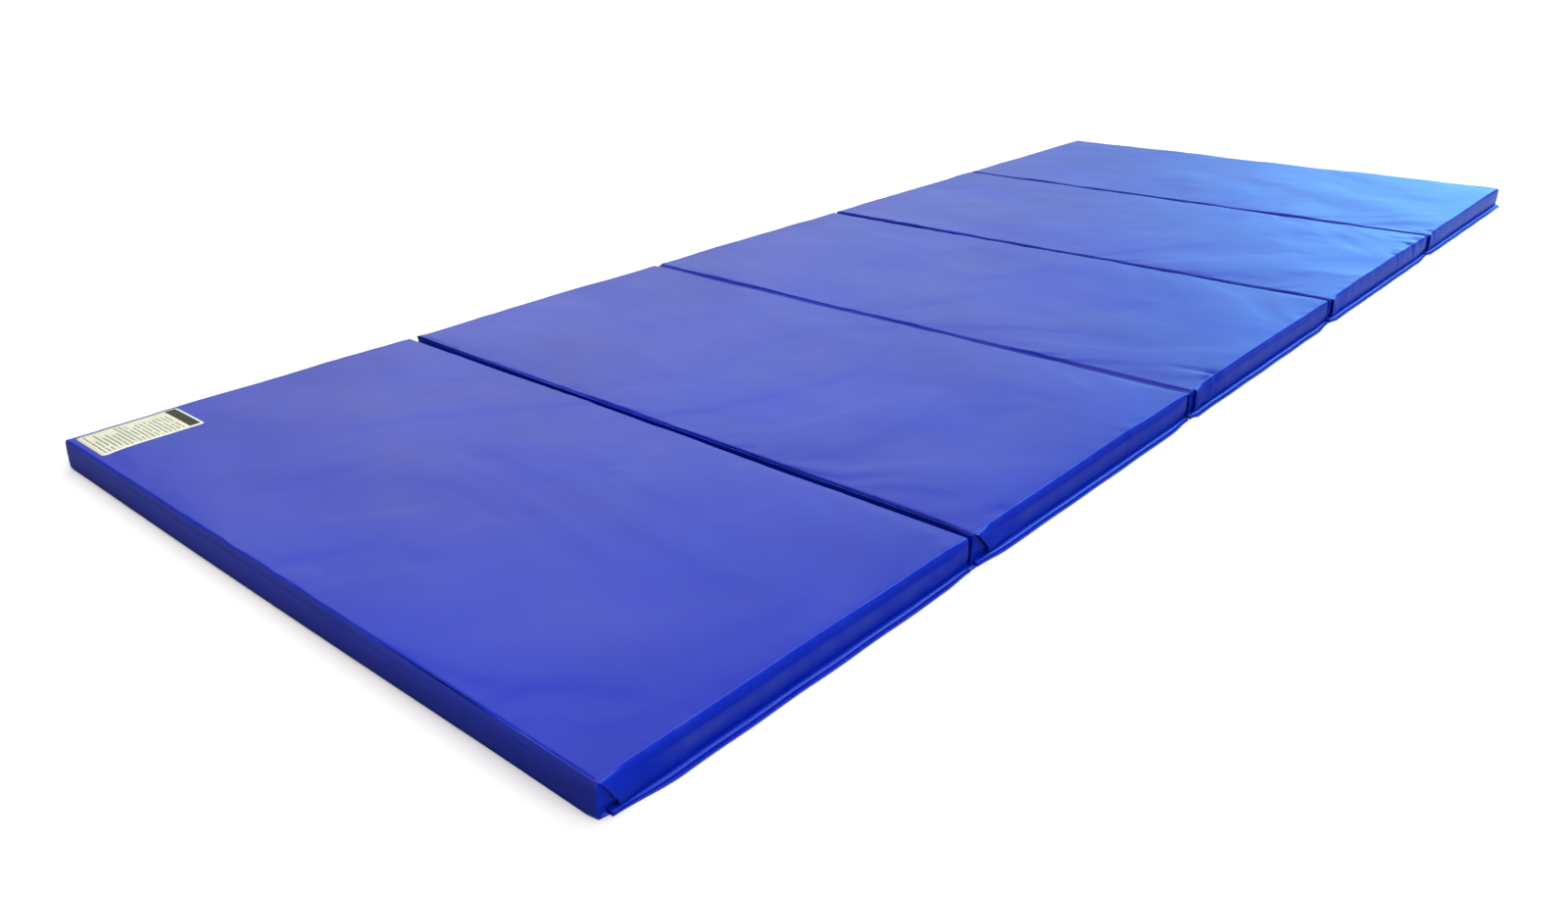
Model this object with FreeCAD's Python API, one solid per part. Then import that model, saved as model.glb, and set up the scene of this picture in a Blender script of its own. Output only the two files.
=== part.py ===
import FreeCAD
import Part
import os

# Folding gym mat: five foam panels in sewn vinyl covers, joined by four fabric hinges.
# Row frame: origin at the bottom centre of the open mat, +X along its length towards panel 5,
# +Y across its width, +Z up.  Everything is in millimetres.

# ---------------------------------------------------------------- driving dimensions
MAT_LENGTH = 3048.0            # ten feet, end wall to end wall
MAT_WIDTH = 1219.2             # four feet, side wall to side wall
MAT_THICKNESS = 50.0           # two inches nominal
PANEL_COUNT = 5
HINGE_GAP = 14.0               # open groove between two panels

VINYL = 0.8                    # one ply of coated fabric
TOP_EDGE_RADIUS = 9.0          # the soft roll along the top edges
CORNER_RADIUS = 11.0           # upright corners of a panel, seen from above
FOAM_CLEARANCE = 0.2           # between the foam and the inside of its cover

UPPER_LIP = 6.0                # side flange: how far the top cover's lip stands out of the wall
LOWER_LIP = 11.0               # the same for the bottom cover's lip
FLANGE_END_SETBACK = 28.0      # the flange starts this far from each end of the mat
FLANGE_NOTCH = 12.0            # the flange stops this far from a hinge that has its web on top

TUCK_RUN = 36.0                # how far along the side wall a corner tuck reaches, at its foot
TUCK_TOP_RUN = 12.0            # the same just under the top edge

HINGE_CLEARANCE = 0.15         # from the hinge axis to each half of the web
BOTTOM_HINGES = (1, 3)         # joints that fold bottom to bottom: web at the foot
TOP_HINGES = (2, 4)            # joints that fold top to top: web just under the top edges

THREAD_RADIUS = 0.4
SEAM_ROW_OFFSET = 3.0          # side seam thread, out from the side wall
HINGE_ROW_OFFSET = 3.0         # hinge thread, out from the panel's end wall
THREAD_END_INSET = 6.0         # a row of thread stops this far inside the ends of its seam

LABEL_LENGTH = 152.4           # six inches, along the mat
LABEL_WIDTH = 101.6            # four inches
LABEL_THICKNESS = 0.3
LABEL_END_INSET = 12.5         # from the end wall of panel 1
LABEL_SIDE_INSET = 10.0        # from the side wall

# ---------------------------------------------------------------- derived dimensions
PANEL_LENGTH = (MAT_LENGTH - (PANEL_COUNT - 1) * HINGE_GAP) / PANEL_COUNT
PANEL_PITCH = PANEL_LENGTH + HINGE_GAP
HALF_WIDTH = MAT_WIDTH / 2.0
WEB_THICKNESS = 2.0 * VINYL
TOP_WEB_Z = MAT_THICKNESS - TOP_EDGE_RADIUS - WEB_THICKNESS
WALL_FOOT_Z = VINYL            # the top cover's walls stand on the bottom cover
LIP_TOP_Z = WALL_FOOT_Z + VINYL


def panel_start(number):
    """X of the end wall of a panel that faces panel 1's free end."""
    return -MAT_LENGTH / 2.0 + (number - 1) * PANEL_PITCH


def panel_end(number):
    return panel_start(number) + PANEL_LENGTH


def joint_x(number):
    """X of the middle of the groove after a panel."""
    return panel_end(number) + HINGE_GAP / 2.0


def save(shape, name):
    shape.exportStep("parts/%s.step" % name)


def slab(x0, x1, y0, y1, z0, z1):
    """Box between two corners."""
    return Part.makeBox(x1 - x0, y1 - y0, z1 - z0, FreeCAD.Vector(x0, y0, z0))


def upright_edges(solid):
    """The four edges of a box that run along Z."""
    return [edge for edge in solid.Edges if edge.BoundBox.XLength < 0.1 and edge.BoundBox.YLength < 0.1]


def edges_at_height(solid, z):
    """All edges of a solid that lie flat at one height."""
    return [
        edge for edge in solid.Edges
        if abs(edge.BoundBox.ZMin - z) < 0.01 and abs(edge.BoundBox.ZMax - z) < 0.01
    ]


def pillow(number, inset, z0, z1):
    """Block of one panel's outline, with rounded upright corners and rolled top edges.

    inset shrinks the outline and both radii together, so nested pillows stay parallel.
    """
    block = slab(
        panel_start(number) + inset, panel_end(number) - inset,
        -HALF_WIDTH + inset, HALF_WIDTH - inset, z0, z1)
    block = block.makeFillet(CORNER_RADIUS - inset, upright_edges(block))
    return block.makeFillet(TOP_EDGE_RADIUS - inset, edges_at_height(block, z1))


def flange_span(number):
    """X range of a panel's side flange: it stops short of a free end or of a notched hinge."""
    start = panel_start(number)
    end = panel_end(number)
    if number == 1:
        start += FLANGE_END_SETBACK
    if number - 1 in TOP_HINGES:
        start += FLANGE_NOTCH
    if number == PANEL_COUNT:
        end -= FLANGE_END_SETBACK
    if number in TOP_HINGES:
        end -= FLANGE_NOTCH
    return start, end


def side_lips(number, reach, z0, z1):
    """Both side lips of one ply.

    Each lip reaches in through the wall, so that it joins its cover.
    """
    start, end = flange_span(number)
    root = HALF_WIDTH - VINYL
    left = slab(start, end, root, HALF_WIDTH + reach, z0, z1)
    right = slab(start, end, -HALF_WIDTH - reach, -root, z0, z1)
    return [left, right]


def tuck_prism(corner_x, towards, side):
    """Three-dimensional stencil of one corner tuck.

    corner_x is the panel's end wall, towards is +1 or -1 into the panel, side is +1 or -1 in Y.
    """
    top = MAT_THICKNESS - TOP_EDGE_RADIUS
    lead = corner_x + towards * CORNER_RADIUS / 2.0
    outline = Part.makePolygon([
        FreeCAD.Vector(lead, 0, LIP_TOP_Z),
        FreeCAD.Vector(corner_x + towards * TUCK_RUN, 0, LIP_TOP_Z),
        FreeCAD.Vector(corner_x + towards * TUCK_TOP_RUN, 0, top),
        FreeCAD.Vector(lead, 0, top),
        FreeCAD.Vector(lead, 0, LIP_TOP_Z),
    ])
    depth = CORNER_RADIUS + VINYL
    prism = Part.Face(outline).extrude(FreeCAD.Vector(0, side * 2 * depth, 0))
    prism.translate(FreeCAD.Vector(0, side * (HALF_WIDTH - depth), 0))
    return prism


def corner_tucks(number):
    """The four folded plies that lie on the side walls at a panel's corners."""
    skin = pillow(number, -VINYL, WALL_FOOT_Z, MAT_THICKNESS + VINYL)
    skin = skin.cut(pillow(number, 0.0, WALL_FOOT_Z, MAT_THICKNESS))
    tucks = []
    for side in (1, -1):
        for corner_x, towards in ((panel_start(number), 1), (panel_end(number), -1)):
            tucks.append(skin.common(tuck_prism(corner_x, towards, side)))
    return tucks


def top_cover(number):
    """Top sheet, four boxed walls, upper seam lips and corner tucks, open at the foot."""
    outside = pillow(number, 0.0, WALL_FOOT_Z, MAT_THICKNESS)
    inside = pillow(number, VINYL, WALL_FOOT_Z - VINYL, MAT_THICKNESS - VINYL)
    shell = outside.cut(inside)
    pieces = side_lips(number, UPPER_LIP, WALL_FOOT_Z, LIP_TOP_Z)
    return shell.fuse(pieces + corner_tucks(number)).removeSplitter()


def bottom_cover(number):
    """Bottom sheet with the lower lip of the side seam along both long sides."""
    sheet = slab(
        panel_start(number), panel_end(number), -HALF_WIDTH, HALF_WIDTH, 0.0, VINYL)
    sheet = sheet.makeFillet(CORNER_RADIUS, upright_edges(sheet))
    return sheet.fuse(side_lips(number, LOWER_LIP, 0.0, VINYL)).removeSplitter()


def foam_core(number):
    """Foam block that fills the cover, resting on the bottom sheet."""
    inset = VINYL + FOAM_CLEARANCE
    return pillow(number, inset, VINYL, MAT_THICKNESS - inset)


def thread_along_x(x0, x1, y, z):
    return Part.makeCylinder(
        THREAD_RADIUS, x1 - x0, FreeCAD.Vector(x0, y, z), FreeCAD.Vector(1, 0, 0))


def thread_along_y(y0, y1, x, z):
    return Part.makeCylinder(
        THREAD_RADIUS, y1 - y0, FreeCAD.Vector(x, y0, z), FreeCAD.Vector(0, 1, 0))


def side_seam_thread(number, side):
    """Row of thread that closes the two lips of one side seam."""
    start, end = flange_span(number)
    return thread_along_x(
        start + THREAD_END_INSET, end - THREAD_END_INSET,
        side * (HALF_WIDTH + SEAM_ROW_OFFSET), LIP_TOP_Z + THREAD_RADIUS)


def hinge_web_half(joint, towards):
    """Half of one hinge web, from a panel's end wall to just short of the hinge axis.

    towards is -1 for the half on the panel before the joint and +1 for the one after it.
    """
    near = joint_x(joint) + towards * HINGE_CLEARANCE
    far = joint_x(joint) + towards * HINGE_GAP / 2.0
    if joint in BOTTOM_HINGES:
        half_span = HALF_WIDTH + LOWER_LIP
        z0 = 0.0
    else:
        half_span = HALF_WIDTH - CORNER_RADIUS
        z0 = TOP_WEB_Z
    return slab(min(near, far), max(near, far), -half_span, half_span, z0, z0 + WEB_THICKNESS)


def hinge_thread_row(joint, towards):
    """Row of thread that sews the two plies of a web together beside one panel."""
    x = joint_x(joint) + towards * (HINGE_GAP / 2.0 - HINGE_ROW_OFFSET)
    z0 = 0.0 if joint in BOTTOM_HINGES else TOP_WEB_Z
    half_span = HALF_WIDTH - CORNER_RADIUS - THREAD_END_INSET
    return thread_along_y(-half_span, half_span, x, z0 + WEB_THICKNESS + THREAD_RADIUS)


def information_label():
    """Thin printed label on the top of panel 1, in the corner at +Y."""
    x0 = panel_start(1) + LABEL_END_INSET
    y1 = HALF_WIDTH - LABEL_SIDE_INSET
    return slab(
        x0, x0 + LABEL_LENGTH, y1 - LABEL_WIDTH, y1,
        MAT_THICKNESS, MAT_THICKNESS + LABEL_THICKNESS)


# ---------------------------------------------------------------- build
os.makedirs("parts", exist_ok=True)

for panel in range(1, PANEL_COUNT + 1):
    save(foam_core(panel), "foam_core_%d" % panel)
    save(top_cover(panel), "top_cover_%d" % panel)
    save(bottom_cover(panel), "bottom_cover_%d" % panel)
    save(side_seam_thread(panel, 1), "left_seam_thread_%d" % panel)
    save(side_seam_thread(panel, -1), "right_seam_thread_%d" % panel)

for hinge in BOTTOM_HINGES + TOP_HINGES:
    for name, direction in (("near", -1), ("far", 1)):
        save(hinge_web_half(hinge, direction), "hinge_%d_web_%s_half" % (hinge, name))
        save(hinge_thread_row(hinge, direction), "hinge_%d_thread_%s_row" % (hinge, name))

save(information_label(), "information_label")
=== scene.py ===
import math

import bmesh
import bpy
import numpy as np
from mathutils import Matrix, Vector
from mathutils.bvhtree import BVHTree


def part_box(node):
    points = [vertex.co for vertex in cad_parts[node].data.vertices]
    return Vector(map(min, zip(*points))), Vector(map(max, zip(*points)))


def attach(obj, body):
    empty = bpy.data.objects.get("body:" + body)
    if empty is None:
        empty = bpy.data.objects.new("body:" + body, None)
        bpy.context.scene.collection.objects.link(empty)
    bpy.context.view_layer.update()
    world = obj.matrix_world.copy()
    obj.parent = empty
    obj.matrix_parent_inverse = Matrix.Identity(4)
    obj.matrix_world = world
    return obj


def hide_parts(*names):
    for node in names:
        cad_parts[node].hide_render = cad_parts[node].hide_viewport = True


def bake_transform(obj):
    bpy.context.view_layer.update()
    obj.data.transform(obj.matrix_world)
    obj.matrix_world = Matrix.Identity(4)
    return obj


# Looks of the folding gym mat.  Row frame in metres: X along the mat, Y across it, Z up.
# Each panel is a sewn vinyl cover over foam; fabric hinges join the panels.

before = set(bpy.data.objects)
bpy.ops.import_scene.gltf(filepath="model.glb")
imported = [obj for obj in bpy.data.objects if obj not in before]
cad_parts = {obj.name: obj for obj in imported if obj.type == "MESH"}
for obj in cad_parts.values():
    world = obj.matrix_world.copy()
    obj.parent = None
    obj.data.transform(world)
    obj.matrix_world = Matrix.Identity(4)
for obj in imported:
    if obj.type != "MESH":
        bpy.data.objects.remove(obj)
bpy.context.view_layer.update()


# -------- sizes
MM = 0.001
PANELS = 5
BOTTOM_HINGES = (1, 3)
RANDOM_SEED = 40

VINYL = 0.8 * MM  # one ply
FOAM_INSET = 1.0 * MM  # the foam's side to the wall plane, in the CAD
CORNER = 8.0 * MM  # size of a panel's upright corners
SQUARENESS = 7.0  # corners are superellipses of this power: 2 is round, more is squarer
CORE = 2.0 * MM  # flat part of the unrolled corner
UNROLLED = 20.0 * MM  # flat part and roll together, before they are rolled over

# Roll profiles of the top edges: radius, and how far round it has turned at its end, in degrees.
SOFT_ROLL = ((3.2 * MM, 55.0), (14.0 * MM, 76.0), (30.0 * MM, 90.0))
TIGHT_ROLL = ((4.0 * MM, 60.0), (6.5 * MM, 90.0))
CRISP_CORNER = 28.0 * MM  # near a corner the edge is tight all round
CROWN_DROP = 2.4 * MM  # the top sheet's rim lies this far under the full height
CROWN = 1.3 * MM  # and rises this much again over the middle of a panel
SHOULDER = 120.0 * MM  # over this distance from the rim
CEILING = 50.38 * MM  # the tops' highest wrinkle
TOP_LIMIT = 0.25 * MM  # nothing on top comes nearer than this to the full height
WALL_BULGE = 1.5 * MM  # the foam swells the walls
FOOT_Z = 1.0 * MM  # where the wall ends, on the bottom sheet
UPRIGHT = 30.0 * MM  # near an upright edge the walls run straighter
FOOT_LEAN = 4.6 * MM  # the side walls' foot is drawn in by this much
END_BOW = 3.5 * MM  # panel 1's free end stands out in the middle
END_TUCK = 1.6 * MM  # an end wall's foot turns under
FOOT_PUCKER = 2.6 * MM  # gather at the foot of panel 1's corner fold
FAR_DENT = 0.7 * MM  # faint crease in a side wall before its far corner

FLAT_STEP = 8.0 * MM  # grid on the top sheet
WALL_FRACTIONS = (0.08, 0.17, 0.26, 0.36, 0.46, 0.56, 0.66, 0.75, 0.82, 0.88, 0.93, 0.97, 1.0)

FLAP_REACH = 50.0 * MM  # corner tuck: from the fold's edge to where it lies flat again
FLAP_TOP = 1.3 * MM  # it begins this far under the rim
FLAP_FOOT = 2.2 * MM  # and ends this far over the wall's foot
FLAP_LIFT = 3.5 * MM  # the fold's edge stands this far off the wall under it
TUCK_RECESS = 2.8 * MM  # and the wall inside the fold lies this much deeper
REFLECTION_FADE = 60.0 * MM  # past the fold the painted grey reflection band on the walls fades in over this distance

UPPER_LIP = 4.2 * MM  # side flange, out from the wall plane
HEM = 2.0 * MM  # the upper lip is a folded hem this thick
LOWER_LIP = 8.8 * MM
LIP_ROOT = 7.5 * MM  # hidden part of a lip, inside the wall
LIP_STEP = 9.0 * MM
SEAM_SHARE = 0.42  # the side stitches' place on the upper lip
SEAM_START = 22.0 * MM  # they keep this far from the lip's ends
SEAM_END = 14.0 * MM

STITCH_PITCH = 6.5 * MM
STITCH_LENGTH = 4.9 * MM
THREAD_RADIUS = 0.38 * MM

TOP_WEB_EDGE = 6.5 * MM  # a top web meets the walls this far under the full height
TOP_WEB_SAG = 2.2 * MM  # and hangs this much lower in the middle
WEB_PLY = 1.4 * MM
WEB_TURN = 3.2 * MM  # half width of the part of a web that bends
WEB_ROOT = 2.2 * MM  # hidden part of a web at each side
BOTTOM_WEB_Z = 0.85 * MM
HINGE_ROW = 4.7 * MM  # hinge stitches, from the hinge axis
HINGE_ROW_END = 18.0 * MM  # and from the side walls

FOAM_TOP_INSET = 3.4 * MM  # the foam block lies this far inside the cover's outer face
FOAM_SIDE_INSET = 5.6 * MM
FOAM_FOOT_INSET = 13.0 * MM  # and its underside this much inside its own outline
FOAM_ROUND = 9.0 * MM
FOAM_FOOT_Z = 1.3 * MM

LABEL_CORNER = 4.0 * MM
LABEL_PLY = 0.28 * MM
LABEL_LIFT = 0.33 * MM  # the label's face, off the cover
LABEL_ROW = 6.4 * MM  # pitch of its ruled lines

UNDER_INSET_X = 1.2 * MM  # the bottom sheet's edge, in from the wall planes
UNDER_INSET_Y = 3.2 * MM
UNDER_RIPPLE = 0.55 * MM  # nothing on it is lifted more than this

FOAM_HOLD = 0.06  # how firmly the foam holds the sheet where it lies
SLACK = (0.0060, 0.0055, 0.0045, 0.0030, 0.0024)  # spare share of each panel's vinyl
CLOTH_FRAMES = 14
CLOTH_CAP = 1.1 * MM  # no point settles further than this
CLOTH_SHARE = 0.5  # the foam takes up the rest

# Lengths in the tables below are in millimetres.
# Creases in the top sheets: panel, x and y from the panel's centre, direction in degrees,
# half length, half width and height.
TOP_CREASES = (
    (1, -20, -80, 86, 110, 10, 0.8),
    (1, 50, -140, 88, 130, 10, 0.7),
    (1, 110, -200, 84, 120, 12, 0.6),
    (3, -212, -592, 75, 28, 5, 1.0),
    (3, -207, -585, 104, 45, 6, -2.0),
    (4, 215, -590, 80, 30, 6, 0.8),
    (4, 262, -575, 122, 45, 8, 0.9),
    (4, 235, -580, 100, 35, 6, -0.9),
    (5, -270, -575, 60, 35, 8, 0.7),
    (2, 100, -595, 78, 25, 8, 0.5),
)

# Pinches in the wall at -Y: panel, distance from the panel's start, half width and depth.
WALL_PINCHES = (
    (1, 560, 9, 0.9),
    (2, 75, 14, -0.8),
    (2, 395, 6, -0.8),
    (2, 410, 8, 0.6),
    (3, 91, 5, -3.6),
    (3, 76, 7, 1.8),
    (4, 395, 7, -2.6),
    (4, 440, 9, 0.8),
    (4, 500, 5, -2.4),
    (4, 520, 6, 1.0),
    (4, 550, 4, -2.6),
    (4, 575, 6, 1.4),
    (5, 35, 6, -1.2),
    (5, 55, 8, 0.8),
)

# Corner folds of each panel: start and run along the wall, and the curve's power.
FOLDS = ((1.5, 28.0, 0.90), (-6.0, 42.0, 0.70), (9.0, 10.0, 1.00), (2.0, 17.0, 0.80), (4.0, 11.0, 0.90))
CORNER_PULL = (0.0, 4.5, 0.0, 3.0, 0.0)  # each near corner leans this far over the groove before it

# The side lips of each panel: start and end, from the panel's own; share of the full width that is
# left at the start, where the lip begins to widen, and over what length.
LIPS = (
    (15.0, -1.5, 0.16, 16.0, 85.0),
    (1.5, 3.5, 0.45, 0.0, 60.0),
    (-3.5, -1.5, 0.40, 5.0, 7.0),
    (1.5, 3.5, 0.45, 6.0, 10.0),
    (-3.5, 2.0, 0.40, 5.0, 7.0),
)

# Lines of the top sheet's grid, in from the end of the unrolled edge.
EDGE_STEPS = (0.0, 1.6, 3.2, 4.8, 6.4, 8.0, 9.5, 11.0, 12.4, 13.6,
              14.2, 14.8, 15.4, 16.0, 16.6, 17.3, 18.2, 20.5, 25.0)

RIPPLE = (0.8, 1.0, 1.5, 1.8, 1.2)  # how strongly each panel's edges and walls are puckered

# A stitch's rings: share of its length, then height and radius in thread radii.
STITCH_PROFILE = ((0.0, -0.7, 0.55), (0.08, 0.0, 0.9), (0.3, 0.62, 1.0),
                  (0.7, 0.62, 1.0), (0.92, 0.0, 0.9), (1.0, -0.7, 0.55))

CAMERA_PLACE = Vector((-2.0587, -1.3265, 0.7624))
CAMERA_TARGET = Vector((-0.792, -0.1866, 0.0))
CAMERA_ROLL = math.radians(1.314)

# Soft sources of the studio: direction, sharpness and colour.
WORLD_BASE = (0.05, 0.05, 0.06)
WORLD_GLOWS = (
    ((0.46, 0.80, 0.44), 22.0, (1.10, 1.15, 0.90)),
    ((-0.95, 0.10, 0.28), 4.0, (0.75, 0.72, 0.68)),
    ((0.80, 0.54, 0.36), 30.0, (0.82, 1.00, 1.15)),
    ((0.76, -0.16, 0.62), 60.0, (1.9, 3.8, 4.9)),
    ((0.92, -0.10, 0.37), 60.0, (0.7, 2.0, 3.0)),
    ((0.98, 0.18, 0.18), 55.0, (0.95, 2.85, 4.8)),
)
BACKDROP = (0.97, 0.955, 0.93, 1.0)  # what the camera sees beyond the floor


# -------- small tools
def smooth(value):
    """Smooth step of a number or array, clamped to 0..1."""
    value = np.clip(value, 0.0, 1.0)
    return value * value * (3.0 - 2.0 * value)


def roll_table(arcs):
    """Run, drop and turned angle along a roll, at evenly spaced shares of its length."""
    length = 0.0
    turned = [0.0]
    lengths = [0.0]
    before = 0.0
    for radius, angle in arcs:
        length += radius * math.radians(angle - before)
        before = angle
        lengths.append(length)
        turned.append(math.radians(angle))
    share = np.linspace(0.0, 1.0, 241)
    tilt = np.interp(share * length, lengths, turned)
    step = length / (len(share) - 1)
    run = np.concatenate([[0.0], np.cumsum((np.cos(tilt[1:]) + np.cos(tilt[:-1])) * step / 2.0)])
    drop = np.concatenate([[0.0], np.cumsum((np.sin(tilt[1:]) + np.sin(tilt[:-1])) * step / 2.0)])
    return share, run, drop, tilt


ROLLS = (roll_table(SOFT_ROLL), roll_table(TIGHT_ROLL))


def new_object(name, points, faces, material):
    """Smooth-shaded mesh object from arrays of points and faces."""
    mesh = bpy.data.meshes.new(name)
    mesh.from_pydata([tuple(map(float, point)) for point in points], [], [tuple(map(int, f)) for f in faces])
    mesh.validate()
    solid = bmesh.new()
    solid.from_mesh(mesh)
    bmesh.ops.recalc_face_normals(solid, faces=solid.faces)
    solid.to_mesh(mesh)
    solid.free()
    mesh.polygons.foreach_set("use_smooth", [True] * len(mesh.polygons))
    mesh.materials.append(material)
    mesh.update()
    piece = bpy.data.objects.new(name, mesh)
    bpy.context.scene.collection.objects.link(piece)
    return piece


def make_piece(name, parts, material):
    """One object from several parts, each of them (points, faces)."""
    points = []
    faces = []
    count = 0
    for part_points, part_faces in parts:
        part_points = np.asarray(part_points, float).reshape(-1, 3)
        points.append(part_points)
        faces += [tuple(int(i) + count for i in face) for face in part_faces]
        count += len(part_points)
    return new_object(name, np.concatenate(points), faces, material)


def grid_faces(rows, columns, flip=False):
    """Quads of a grid whose points run row by row."""
    faces = []
    for row in range(rows - 1):
        for column in range(columns - 1):
            a = row * columns + column
            quad = (a, a + 1, a + columns + 1, a + columns)
            faces.append(quad[::-1] if flip else quad)
    return faces


def grid_rim(rows, columns):
    """Indices of the points round the edge of a grid, in order."""
    rim = [row * columns for row in range(rows)]
    rim += [(rows - 1) * columns + column for column in range(1, columns)]
    rim += [row * columns + columns - 1 for row in range(rows - 2, -1, -1)]
    rim += [column for column in range(columns - 2, 0, -1)]
    return rim


def ring_faces(first, second):
    """Quads between two closed rings of points."""
    after = list(range(1, len(first))) + [0]
    return [(first[k], first[j], second[j], second[k]) for k, j in enumerate(after)]


def sheet_faces(rows, columns, flip=False):
    """Faces of a closed sheet: a grid, the same grid on its other side, and the edge between them."""
    count = rows * columns
    rim = grid_rim(rows, columns)
    edge = ring_faces(rim, [i + count for i in rim])
    faces = grid_faces(rows, columns, flip)
    faces += [tuple(i + count for i in face) for face in grid_faces(rows, columns, not flip)]
    return faces + ([quad[::-1] for quad in edge] if flip else edge)


def rounded(x, y, half_x, half_y, radius):
    """Draws the corners of a sheet centred on the origin in to a radius."""
    core_x = np.clip(x, radius - half_x, half_x - radius)
    core_y = np.clip(y, radius - half_y, half_y - radius)
    pull = radius / np.maximum(np.hypot(x - core_x, y - core_y), radius)
    return core_x + (x - core_x) * pull, core_y + (y - core_y) * pull


def loft(sections):
    """Closed tube through closed cross-sections (sections x points x 3)."""
    sections = np.asarray(sections, float)
    count, around = sections.shape[:2]
    rings = np.arange(count * around).reshape(count, around).tolist()
    faces = []
    for first, second in zip(rings[:-1], rings[1:]):
        faces += ring_faces(first, second)
    faces += [tuple(rings[0][::-1]), tuple(rings[-1])]
    return sections.reshape(-1, 3), faces


def band_section(centres, thickness):
    """Closed outline, with rounded ends, of a band drawn along a centre line in the plane.

    centres is points x 2; the outline goes out along one side and back along the other.
    """
    centres = np.asarray(centres, float)
    along = np.gradient(centres, axis=0)
    along /= np.linalg.norm(along, axis=1)[:, None]
    across = np.stack([-along[:, 1], along[:, 0]], axis=1)
    half = thickness / 2.0
    one_side = centres + across * half
    other_side = centres - across * half
    tip = centres[-1] + along[-1] * half
    heel = centres[0] - along[0] * half
    return np.concatenate([one_side, [tip], other_side[::-1], [heel]])


# -------- panels
class Panel:
    """One panel's place and the small irregularities of its cover."""

    def __init__(self, number):
        self.number = number
        self.body = "panel_%d" % number
        cover_low, cover_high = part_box("top_cover_%d" % number)
        foam_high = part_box("foam_core_%d" % number)[1]
        self.start = float(cover_low[0])
        self.end = float(cover_high[0])
        self.centre = (self.start + self.end) / 2.0
        self.half_x = (self.end - self.start) / 2.0
        self.half_y = float(foam_high[1]) + FOAM_INSET
        self.top = float(cover_high[2])
        random = np.random.default_rng(RANDOM_SEED + number)
        waves = 10
        turn = random.uniform(0.0, math.pi, waves)
        pitch = random.uniform(9.0, 42.0, waves)
        self.wave_x = pitch * np.cos(turn)
        self.wave_y = pitch * np.sin(turn) * 0.7
        self.wave_phase = random.uniform(0.0, 2.0 * math.pi, waves)
        self.wave_height = 5.5 * MM / pitch * random.uniform(0.6, 1.4, waves)
        ripples = 8
        self.ripple_pitch = random.uniform(35.0, 150.0, ripples)
        self.ripple_phase = random.uniform(0.0, 2.0 * math.pi, (4, ripples))
        self.ripple_height = random.uniform(0.03, 0.10, ripples) * MM * RIPPLE[number - 1]

    def undulation(self, x, y):
        """Soft waves of the top sheet."""
        total = np.zeros_like(x)
        for kx, ky, phase, height in zip(self.wave_x, self.wave_y, self.wave_phase, self.wave_height):
            total = total + height * np.sin(kx * x + ky * y + phase)
        for number, at_x, at_y, angle, length, width, height in TOP_CREASES:
            if number == self.number:
                total = total + height * MM * ridge(
                    x - self.centre - at_x * MM, y - at_y * MM, angle, length * MM, width * MM)
        return total

    def pinches(self, x, y):
        """Depth of the pinches in the wall at -Y."""
        total = np.zeros_like(x)
        for number, along, width, depth in WALL_PINCHES:
            if number == self.number:
                total = total + depth * MM * np.exp(-((x - self.start - along * MM) / (width * MM)) ** 2)
        return total * (y < 0.0)

    def ripple(self, x, y):
        """Small puckers along the edges and walls, each wall with its own."""
        total = np.zeros_like(x)
        side = np.abs(y) / self.half_y > np.abs(x - self.centre) / self.half_x
        along = np.where(side, x, y)
        wall = np.where(side, np.where(y > 0, 0, 1), np.where(x > self.centre, 2, 3))
        for k, (pitch, height) in enumerate(zip(self.ripple_pitch, self.ripple_height)):
            phase = self.ripple_phase[wall, k]
            swell = 0.5 + 0.5 * np.sin(0.19 * pitch * along + 2.0 * phase)
            total = total + height * swell * np.sin(pitch * along + phase)
        return total

    def crowned_top(self, x, y):
        """Height of the top sheet before the edges roll over."""
        to_end = 1.0 - (self.half_x - np.abs(x - self.centre)) / SHOULDER
        to_side = 1.0 - (self.half_y - np.abs(y)) / SHOULDER
        crown = CROWN * (1.0 - np.clip(to_end, 0.0, 1.0) ** 2) * (1.0 - np.clip(to_side, 0.0, 1.0) ** 2)
        height = self.top - CROWN_DROP + crown + self.undulation(x, y)
        ceiling = self.top - TOP_LIMIT
        return ceiling - soft_floor(ceiling - height)


def soft_floor(room):
    """Keeps a distance positive, bending smoothly near zero."""
    scale = 0.25 * MM
    return scale * np.logaddexp(0.0, room / scale)


def ridge(x, y, angle, length, width):
    """Shape, 0 to 1, of a soft straight crease through the origin."""
    c = math.cos(math.radians(angle))
    s = math.sin(math.radians(angle))
    return np.exp(-((x * c + y * s) / length) ** 2 - ((y * c - x * s) / width) ** 2)


def edge_lines(half):
    """Grid lines across one direction of a panel, closer together where the top rolls over."""
    reach = half - CORNER + UNROLLED
    edge = [reach - step * MM for step in EDGE_STEPS]
    flat = edge[-1] - 6.0 * MM
    count = int(round(2.0 * flat / FLAT_STEP)) + 1
    inner = np.linspace(-flat, flat, count)
    return np.concatenate([-np.array(edge), inner, np.array(edge)[::-1]])


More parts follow.
